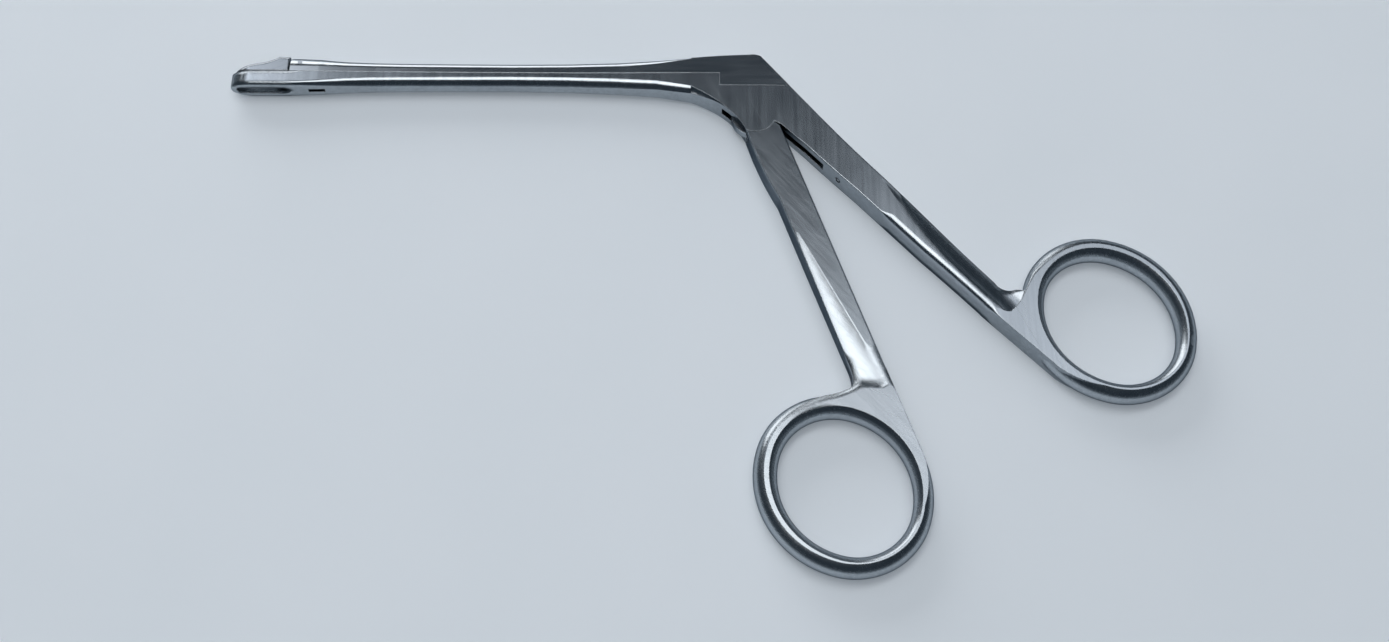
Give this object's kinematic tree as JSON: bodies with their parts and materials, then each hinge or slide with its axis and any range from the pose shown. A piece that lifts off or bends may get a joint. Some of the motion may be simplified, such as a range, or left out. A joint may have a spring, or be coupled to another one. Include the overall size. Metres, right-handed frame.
{
  "type": "nasal forceps",
  "caption": "Straight nasal forceps with finger rings: closing the handles slides the upper shaft bar and shuts a fenestrated cup jaw.",
  "frame": {"origin": "on the axis of the handle pivot, in the face on which the instrument lies", "axes": "+X along the shaft from the jaw tips to the rings, +Y from the handles to the sliding bar, +Z across the thickness, up as it lies on its side"},
  "size_m": [0.1946, 0.1124, 0.0051],
  "materials": {
    "satin_steel": "satin, fine grain",
    "polished_steel": "semi-polished",
    "pin_steel": "filed flush"
  },
  "bodies": {
    "frame": {"shaft_frame": "satin_steel", "handle_pivot_pin": "pin_steel", "jaw_pivot_pin": "pin_steel", "handle_stop_pin": "pin_steel"},
    "finger_lever": {"finger_handle": "satin_steel"},
    "slide": {"slide_bar": "polished_steel", "slide_drive_pin": "pin_steel", "jaw_drive_pin": "pin_steel", "front_guide_rivet": "pin_steel", "rear_guide_rivet": "pin_steel"},
    "jaw": {"upper_jaw": "polished_steel"}
  },
  "joints": [
    {"name": "handle_hinge", "type": "hinge", "parent": "frame", "child": "finger_lever", "pos_m": [0, 0, 0.00255], "axis": [0, 0, -1], "range_deg": [0, 15]},
    {"name": "slide_travel", "type": "slide", "parent": "frame", "child": "slide", "axis": [1, 0, 0], "range_m": [0, 0.00263]},
    {"name": "jaw_hinge", "type": "hinge", "parent": "frame", "child": "jaw", "pos_m": [-0.0938, 0.0084, 0.00255], "axis": [0, 0, -1], "range_deg": [0, 42.21]}
  ],
  "couplings": [
    {"joint": "slide_travel", "follows": "handle_hinge", "m_per_rad": 0.01},
    {"joint": "jaw_hinge", "follows": "handle_hinge", "ratio": 2.8076}
  ]
}
